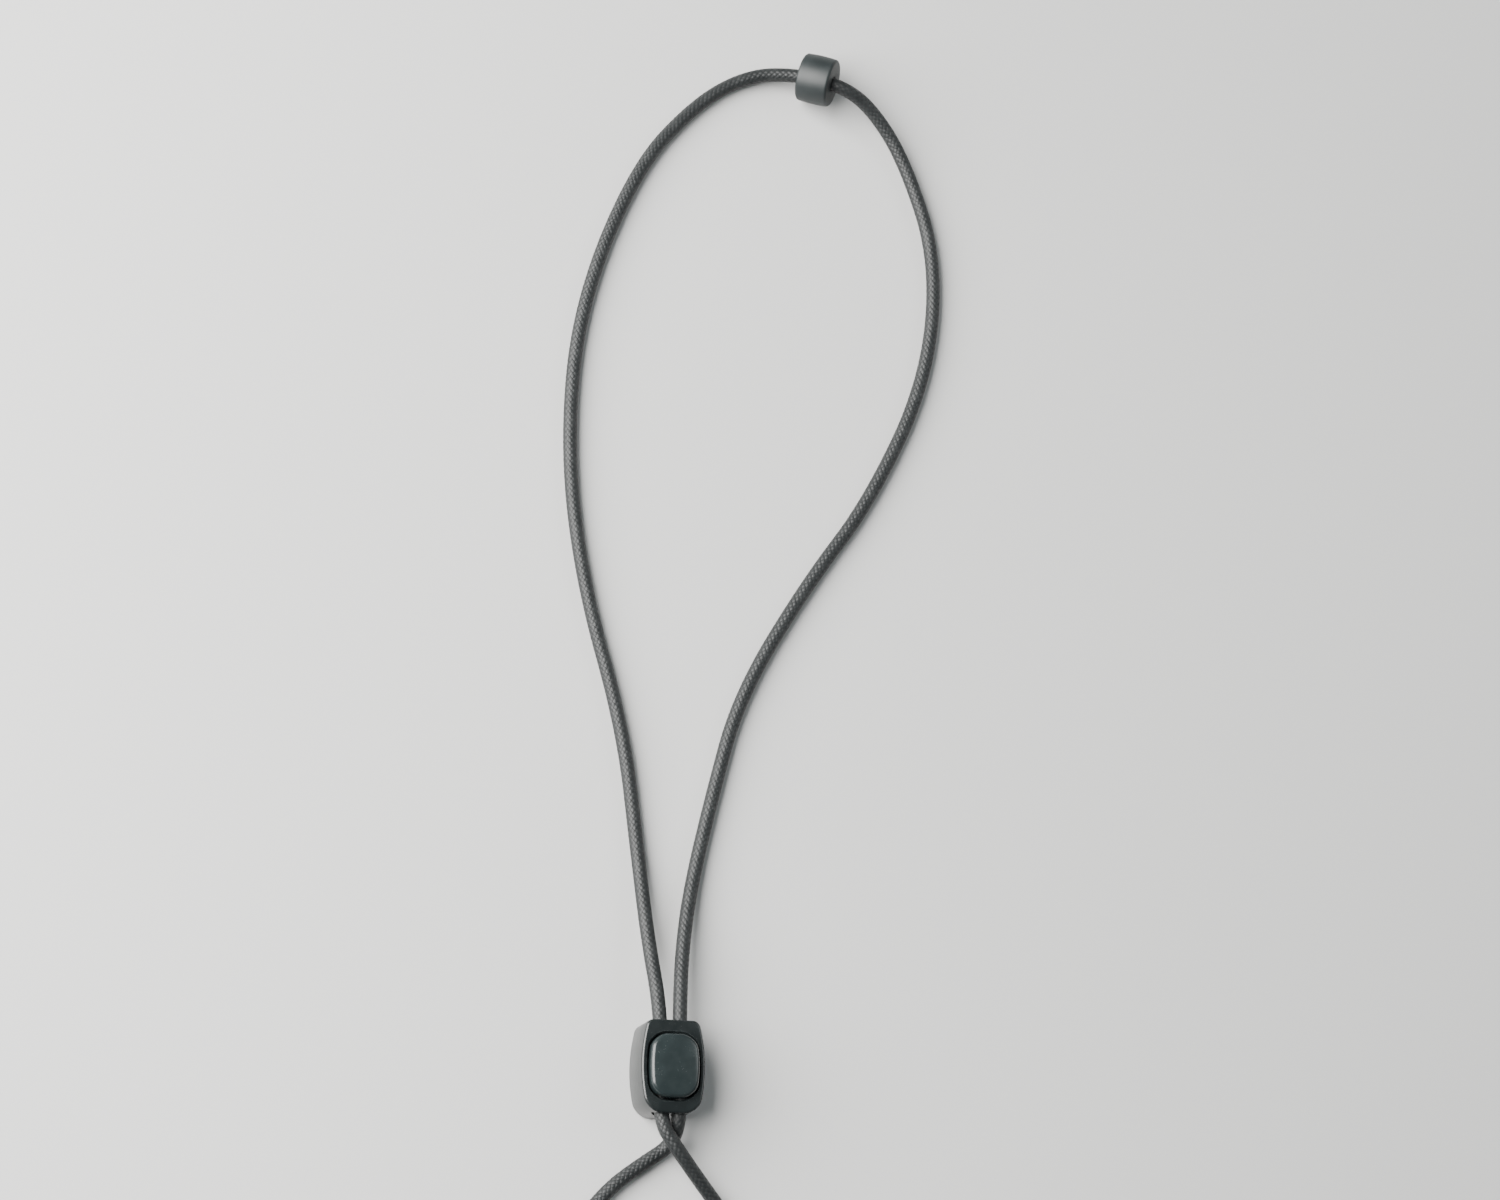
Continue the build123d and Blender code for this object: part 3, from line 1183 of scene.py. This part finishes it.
@dataclass(frozen=True)
class LoopBead:
    """The moulded sleeve that joins the cord's two ends at the top of the loop."""

    finish: MouldedAcetal
    centre: Point = (0.0329, 0.2199, 0.006225)
    turn_deg: float = -19.5
    tilt_deg: float = 24.5
    length: float = 7.2 * MM
    r_mid: float = 5.4 * MM
    r_end: float = 5.2 * MM
    edge_r: float = 0.5 * MM
    bore_r: float = 1.53 * MM
    mouth_r: float = 0.35 * MM
    web: float = 0.8 * MM
    arc_steps: int = 12
    sides: int = 96

    def build(self, effects: Effects) -> bpy.types.Object:
        """Spins the sleeve's profile and lays it along the cord.

        Args:
            effects: The shared groups.

        Returns:
            The piece.
        """
        half = self.length / 2
        web = self.web / 2
        outline = [(-web, 0.0), (-web, self.bore_r), (-half, self.bore_r), (-half, self.r_end)]
        for step in range(1, self.arc_steps):
            x = half * (2 * step / self.arc_steps - 1)
            outline.append((x, self.r_mid - (self.r_mid - self.r_end) * (x / half) ** 2))
        outline += [(half, self.r_end), (half, self.bore_r), (web, self.bore_r), (web, 0.0)]
        mesh = bmesh.new()
        verts = [mesh.verts.new((x, 0.0, r)) for x, r in outline]
        for first, second in zip(verts, verts[1:]):
            mesh.edges.new((first, second))
        mouths = [verts[2], verts[-3]]
        rims = [verts[3], verts[-4]]
        for corners, radius in ((rims, self.edge_r), (mouths, self.mouth_r)):
            bmesh.ops.bevel(
                mesh, geom=corners, offset=radius, affect="VERTICES", segments=6, profile=0.5, material=-1
            )
        profile = mesh.verts[:] + mesh.edges[:]
        bmesh.ops.spin(
            mesh,
            geom=profile,
            cent=(0, 0, 0),
            axis=(1, 0, 0),
            angle=2 * math.pi,
            steps=self.sides,
            use_merge=True,
        )
        bmesh.ops.remove_doubles(mesh, verts=mesh.verts[:], dist=1e-6)
        bmesh.ops.recalc_face_normals(mesh, faces=mesh.faces[:])
        place = Matrix.Translation(self.centre) @ Matrix.Rotation(math.radians(self.turn_deg), 4, "Z")
        place @= Matrix.Rotation(-math.radians(self.tilt_deg), 4, "Y")
        bmesh.ops.transform(mesh, matrix=place, verts=mesh.verts[:])
        piece = finished_object("joining_bead", mesh)
        across = (place.to_3x3() @ Vector((0.0, 0.0, 1.0))).normalized()
        offset = across.dot(Vector(self.centre))
        finish = replace(self.finish, parting_normal=tuple(across), parting_offset=offset)
        dress(piece, finish.material(effects), Body.ROOT)
        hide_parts("loop_bead")
        return piece


@dataclass(frozen=True)
class HemCoil:
    """The run that lives in the hem, put away as a neat two-layer coil beside the lock."""

    centre: tuple[float, float] = (0.0, -0.055)
    outer_turn_r: float = 0.0226
    inner_turn_r: float = 0.0104
    pitch: float = 0.00305
    top_z: float = 0.0045
    low_z: float = 0.0015
    step_down_turns: float = 0.5
    points_per_turn: int = 16

    def points(self) -> list[Point]:
        """The control points from the right side of the top layer to the left side of the lower one.

        Returns:
            The points, in the order that the cord follows them.
        """
        layer_turns = (self.outer_turn_r - self.inner_turn_r) / self.pitch
        total = 2 * layer_turns + self.step_down_turns
        steps = round(total * self.points_per_turn)
        outward = 4.0 / (3.0 + math.cos(2 * math.pi / self.points_per_turn))
        made = []
        for step in range(1, steps):
            turn = total * step / steps
            if turn < layer_turns:
                radius, z = self.outer_turn_r - self.pitch * turn, self.top_z
            elif turn < layer_turns + self.step_down_turns:
                share = (turn - layer_turns) / self.step_down_turns
                radius, z = self.inner_turn_r, self.top_z + (self.low_z - self.top_z) * share
            else:
                radius = self.inner_turn_r + self.pitch * (turn - layer_turns - self.step_down_turns)
                z = self.low_z
            angle = -2 * math.pi * turn
            reach = radius * (1.0 + (outward - 1.0) * min(1.0, step / 3, (steps - step) / 3))
            x, y = reach * math.cos(angle), reach * math.sin(angle)
            made.append((self.centre[0] + x, self.centre[1] + y, z))
        return made


@dataclass(frozen=True)
class ElasticCord:
    """One length of braided elastic: bead, left strand, hem coil, right strand and bead again."""

    finish: BraidedCover
    coil: HemCoil
    radius: float = 1.5 * MM
    sides: int = 32
    fine_step: float = 0.34 * MM
    coil_step: float = 1.0 * MM
    relief: float = 0.05 * MM
    left_route: tuple[Point, ...] = (
        (0.032557, 0.220022, 0.006059),
        (0.028182, 0.221571, 0.003944),
        (0.0182, 0.2209, 0.0018),
        (0.0065, 0.2132, 0.0015),
        (-0.0071, 0.1967, 0.0015),
        (-0.0193, 0.1643, 0.0015),
        (-0.0218, 0.1327, 0.0015),
        (-0.0180, 0.1029, 0.0015),
        (-0.0089, 0.0720, 0.0015),
        (-0.0056, 0.0455, 0.0015),
        (-0.0040, 0.0275, 0.0040),
        (-0.0022, 0.0125, 0.00745),
        (-0.00205, 0.0015, 0.00745),
        (-0.0021, -0.0109, 0.00745),
        (0.0012, -0.0159, 0.0074),
        (0.0065, -0.0216, 0.0046),
        (0.0125, -0.0280, 0.0018),
        (0.0185, -0.0365, 0.0020),
        (0.0226, -0.0470, 0.0045),
        (0.0226, -0.0550, 0.0045),
    )
    right_route: tuple[Point, ...] = (
        (0.033243, 0.219779, 0.006391),
        (0.037618, 0.218229, 0.008506),
        (0.0455, 0.2152, 0.0052),
        (0.0541, 0.2052, 0.0020),
        (0.0618, 0.1825, 0.0015),
        (0.0590, 0.1542, 0.0015),
        (0.0455, 0.1255, 0.0015),
        (0.0318, 0.1068, 0.0015),
        (0.0164, 0.0808, 0.0015),
        (0.0103, 0.0579, 0.0015),
        (0.0059, 0.0395, 0.0018),
        (0.0034, 0.0260, 0.0042),
        (0.0020, 0.0125, 0.00745),
        (0.00215, 0.0015, 0.00745),
        (0.0021, -0.0112, 0.00745),
        (0.0016, -0.0152, 0.0019),
        (-0.0034, -0.0185, 0.0015),
        (-0.0110, -0.0240, 0.0015),
        (-0.0180, -0.0325, 0.0015),
        (-0.0226, -0.0440, 0.0015),
        (-0.0226, -0.0550, 0.0015),
    )

    def centreline(self) -> list[Vector]:
        """Reads the route's NURBS spline.

        Returns:
            Its points, close together.
        """
        points = [*self.left_route, *self.coil.points(), *reversed(self.right_route)]
        curve = bpy.data.curves.new("cord_route", "CURVE")
        curve.dimensions = "3D"
        curve.resolution_u = 24
        spline = curve.splines.new("NURBS")
        spline.points.add(len(points) - 1)
        for target, point in zip(spline.points, points):
            target.co = (*point, 1.0)
        spline.order_u = 3
        spline.use_endpoint_u = True
        carrier = bpy.data.objects.new("cord_route", curve)
        bpy.context.scene.collection.objects.link(carrier)
        bpy.context.view_layer.update()
        line = bpy.data.meshes.new_from_object(carrier)
        read = [vert.co.copy() for vert in line.vertices]
        bpy.context.scene.collection.objects.unlink(carrier)
        bpy.data.objects.remove(carrier)
        bpy.data.curves.remove(curve)
        bpy.data.meshes.remove(line)
        return read

    def rings(self, line: Sequence[Vector]) -> tuple[list[Vector], list[float]]:
        """Spaces ring centres along the line, closer outside the coil than in it.

        Args:
            line: The spline's points.

        Returns:
            The centres and their distances along the cord.
        """
        gone = [0.0]
        for first, second in zip(line, line[1:]):
            gone.append(gone[-1] + (second - first).length)
        coil_middle = Vector((*self.coil.centre, 0.0))
        reach = self.coil.outer_turn_r + 2 * self.radius
        centres, places = [], []
        at, index = 0.0, 0
        while at < gone[-1]:
            while index < len(gone) - 2 and gone[index + 1] < at:
                index += 1
            share = (at - gone[index]) / max(gone[index + 1] - gone[index], 1e-12)
            here = line[index].lerp(line[index + 1], min(max(share, 0.0), 1.0))
            centres.append(here)
            places.append(at)
            coiled = (Vector((here.x, here.y, 0.0)) - coil_middle).length < reach
            at += self.coil_step if coiled else self.fine_step
        centres.append(line[-1].copy())
        places.append(gone[-1])
        return centres, places

    def braid_height(self, along: float, around: float) -> float:
        """The braid's relief at a point, from 0 to 1, as the finish draws it.

        Args:
            along: Distance along the cord.
            around: Share of the way round.

        Returns:
            The relief.
        """
        turn = around * self.finish.yarns_each_way
        run = along / self.finish.pitch
        right, left = turn + run, turn - run
        crown_right = abs(math.sin(math.pi * right))
        crown_left = abs(math.sin(math.pi * left))
        if (math.floor(right) + math.floor(left)) % 2:
            return math.sqrt(crown_right) * (0.55 + 0.45 * crown_left)
        return math.sqrt(crown_left) * (0.55 + 0.45 * crown_right)

    def build(self, effects: Effects, bead: bpy.types.Object) -> bpy.types.Object:
        """Args:
            effects: The shared groups.
            bead: The bead on it; not used.

        Returns:
            The piece.
        """
        centres, places = self.rings(self.centreline())
        sides_out = self._frames(centres)
        mesh = bmesh.new()
        count = len(centres)
        bmesh.ops.create_grid(mesh, x_segments=count - 1, y_segments=self.sides, size=0.5, calc_uvs=True)
        uv_layer = mesh.loops.layers.uv.verify()
        for vert in mesh.verts:
            index = round((vert.co.x + 0.5) * (count - 1))
            around = vert.co.y + 0.5
            for loop in vert.link_loops:
                loop[uv_layer].uv = (places[index], around)
            side, up = sides_out[index]
            angle = 2 * math.pi * around
            height = self.relief * (self.braid_height(places[index], around % 1.0) - 0.75)
            reach = self.radius + height
            vert.co = centres[index] + reach * (math.cos(angle) * side + math.sin(angle) * up)
        bmesh.ops.remove_doubles(mesh, verts=mesh.verts[:], dist=2e-6)
        ends = [edge for edge in mesh.edges if edge.is_boundary]
        bmesh.ops.holes_fill(mesh, edges=ends, sides=self.sides)
        bmesh.ops.recalc_face_normals(mesh, faces=mesh.faces[:])
        piece = finished_object("elastic_drawcord", mesh, 75.0)
        dress(piece, self.finish.material(effects), Body.ROOT)
        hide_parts("cord_left", "cord_coil", "cord_right")
        log.info("cord: %.3f m in %d rings", places[-1], count)
        return piece

    @staticmethod
    def _frames(centres: Sequence[Vector]) -> list[tuple[Vector, Vector]]:
        """Two directions across the cord at each centre, carried along without twist.

        Args:
            centres: The ring centres.

        Returns:
            A pair of directions for each.
        """
        up = Vector((0.0, 0.0, 1.0))
        made = []
        last = len(centres) - 1
        for index in range(last + 1):
            along = (centres[min(index + 1, last)] - centres[max(index - 1, 0)]).normalized()
            up = (up - along * up.dot(along)).normalized()
            made.append((along.cross(up), up.copy()))
        return made


# ---- studio -------------------------------------------------------------------------------------


@dataclass(frozen=True)
class Studio:
    """Floor, lights and camera."""

    paper: StudioPaper
    yaw_deg: float = 15.5
    pitch_deg: float = 9.0
    distance: float = 0.9
    aim: Point = (0.01926, 0.10235, 0.0)
    lens: float = 105.3
    floor_size: float = 3.0

    def floor(self) -> None:
        """Lays the floor that the lock rests on."""
        mesh = bmesh.new()
        bmesh.ops.create_grid(mesh, x_segments=4, y_segments=4, size=self.floor_size / 2)
        plane = finished_object("studio_floor", mesh)
        plane.data.materials.append(self.paper.material())

    def light(
        self, name: str, place: Point, target: Point, size: tuple[float, float], watts: float, colour: Colour
    ) -> None:
        """Hangs one soft box.

        Args:
            name: The light's name.
            place: Where it hangs.
            target: What it faces.
            size: Its width and height.
            watts: Its power.
            colour: Its colour.
        """
        lamp = bpy.data.lights.new(name, "AREA")
        lamp.shape = "RECTANGLE"
        lamp.size, lamp.size_y = size
        lamp.energy = watts
        lamp.color = colour
        holder = bpy.data.objects.new(name, lamp)
        holder.location = place
        holder.rotation_euler = (Vector(target) - Vector(place)).to_track_quat("-Z", "Y").to_euler()
        bpy.context.scene.collection.objects.link(holder)

    def lights(self) -> None:
        """Hangs the key box and the right box and sets the soft surrounding light."""
        middle = (self.aim[0], self.aim[1], 0.0)
        self.light("key_box", (-0.60, 0.20, 0.46), middle, (0.75, 0.80), 37.0, (1.0, 0.99, 0.97))
        self.light("right_box", (0.95, 0.35, 0.90), middle, (0.6, 0.6), 4.5, (0.97, 1.0, 1.0))
        world = bpy.data.worlds.new("soft_room")
        world.use_nodes = True
        world.node_tree.nodes["Background"].inputs["Color"].default_value = (0.72, 0.80, 0.82, 1.0)
        world.node_tree.nodes["Background"].inputs["Strength"].default_value = 0.22
        bpy.context.scene.world = world

    def camera(self) -> None:
        """Places the camera over the lock's left and lower side, with the strands upright in view."""
        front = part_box("lock_body")[1].z
        away = Vector((-math.tan(math.radians(self.yaw_deg)), -math.tan(math.radians(self.pitch_deg)), 1.0))
        place = Vector((0.0, 0.0, front)) + self.distance * away.normalized()
        forward = (Vector(self.aim) - place).normalized()
        right = forward.cross(Vector((0.0, 1.0, 0.0))).normalized()
        up = right.cross(forward)
        turned = Matrix((right, up, -forward)).transposed().to_4x4()
        data = bpy.data.cameras.new("studio_camera")
        data.lens = self.lens
        data.sensor_width = 36.0
        data.clip_start = 0.01
        holder = bpy.data.objects.new("studio_camera", data)
        holder.matrix_world = Matrix.Translation(place) @ turned
        bpy.context.scene.collection.objects.link(holder)
        bpy.context.scene.camera = holder


def main() -> None:
    """Builds the lock, its bead and its cord around the frame, and lights them."""
    logging.basicConfig(level=logging.INFO, format="%(name)s: %(message)s")
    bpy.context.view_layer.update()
    effects = Effects.build()
    sizes = LockSizes()
    studio = Studio(StudioPaper())
    studio.floor()
    studio.lights()
    studio.camera()
    bead = LoopBead(MouldedAcetal("bead_satin", (0.0080, 0.0115, 0.0122), roughness=0.50)).build(effects)
    cord = ElasticCord(BraidedCover("braided_cover"), HemCoil()).build(effects, bead)
    body = LockBody(sizes, MouldedAcetal("lock_satin", (0.0068, 0.0090, 0.0094))).build(effects)
    button = Button(sizes, MouldedAcetal("button_satin", (0.0115, 0.0165, 0.0172))).build(effects)
    spring = Spring(sizes, DrawnSteel("spring_wire")).build(effects)
    for piece in (body, button, spring, bead, cord):
        log.info("%s: %d faces", piece.name, len(piece.data.polygons))


if __name__ == "__main__":
    main()
